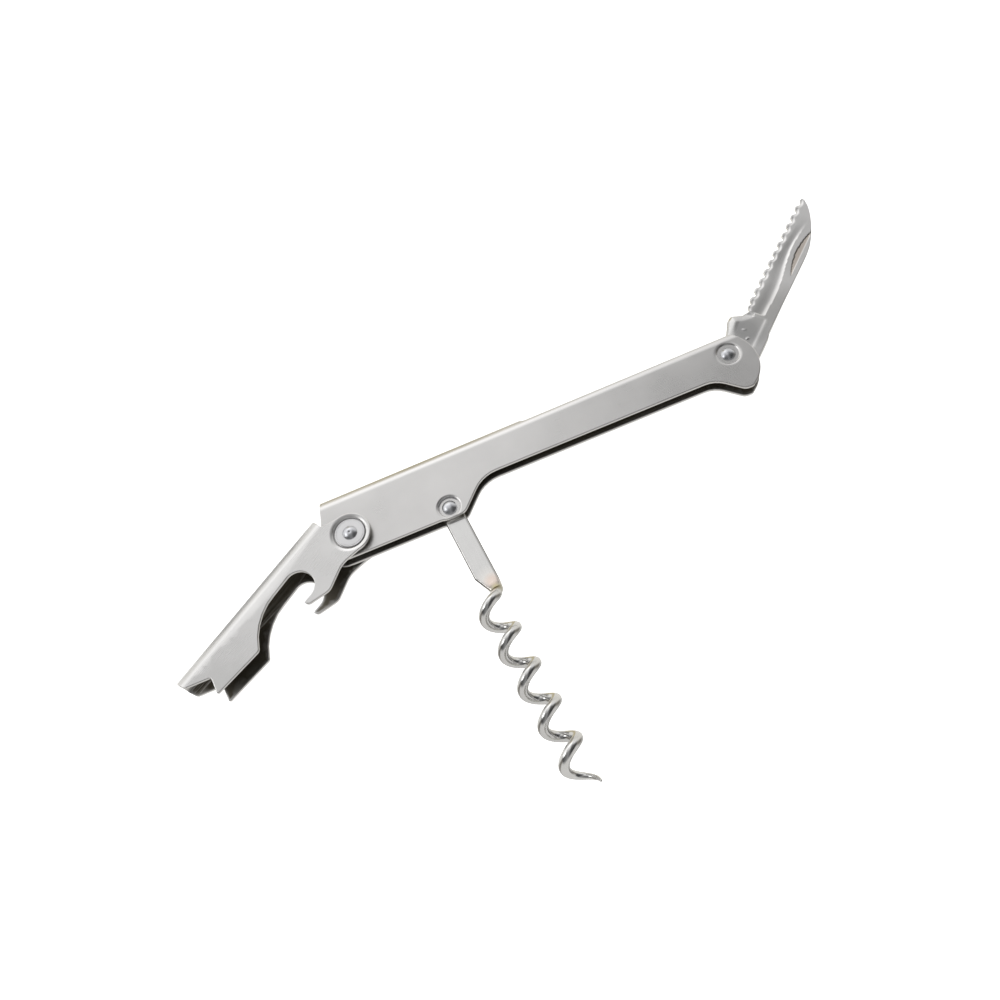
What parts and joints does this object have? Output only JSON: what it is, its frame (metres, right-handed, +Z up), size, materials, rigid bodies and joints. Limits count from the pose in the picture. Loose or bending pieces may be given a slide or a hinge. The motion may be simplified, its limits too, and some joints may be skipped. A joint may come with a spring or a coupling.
{
  "type": "folding lever corkscrew",
  "caption": "Folding pocket corkscrew in bent sheet steel: channel handle, slotted lever with cap lifter, wire worm on a flat shank, and a serrated foil knife.",
  "frame": {"origin": "on the lever's pivot axis, in the plane the tool rests on when it lies on its side", "axes": "+X along the handle from the lever pivot to the knife pivot, +Y towards the handle's spine, +Z up, along every pivot axis"},
  "size_m": [0.1995, 0.1231, 0.0084],
  "materials": {
    "handle_sheet": "satin polished",
    "lever_sheet": "satin polished",
    "knife_sheet": "satin polished, ground",
    "worm_wire": "polished, heat tint at the shank",
    "rivet_steel": "polished",
    "washer_steel": "satin",
    "bush_steel": "plain"
  },
  "bodies": {
    "handle": {"handle_channel": "handle_sheet", "lever_bush": "bush_steel", "worm_rivet": "rivet_steel", "knife_rivet": "rivet_steel"},
    "lever": {"lever_channel": "lever_sheet", "lever_rivet": "rivet_steel", "lever_washer_front": "washer_steel", "lever_washer_back": "washer_steel"},
    "worm": {"worm": "worm_wire"},
    "knife": {"knife_blade": "knife_sheet"}
  },
  "joints": [
    {"name": "lever_hinge", "type": "hinge", "parent": "handle", "child": "lever", "pos_m": [0, 0, 0.0042], "axis": [0, 0, 1], "range_deg": [-6, 147.8]},
    {"name": "worm_hinge", "type": "hinge", "parent": "handle", "child": "worm", "pos_m": [0.0255, -0.003, 0.0042], "axis": [0, 0, 1], "range_deg": [-3.6, 85.6]},
    {"name": "knife_hinge", "type": "hinge", "parent": "handle", "child": "knife", "pos_m": [0.10685, 0.0074, 0.0042], "axis": [0, 0, 1], "range_deg": [-42.2, 137.8]}
  ],
  "couplings": [
    {"joint": "worm_hinge", "follows": "lever_hinge", "ratio": 0.5785}
  ]
}
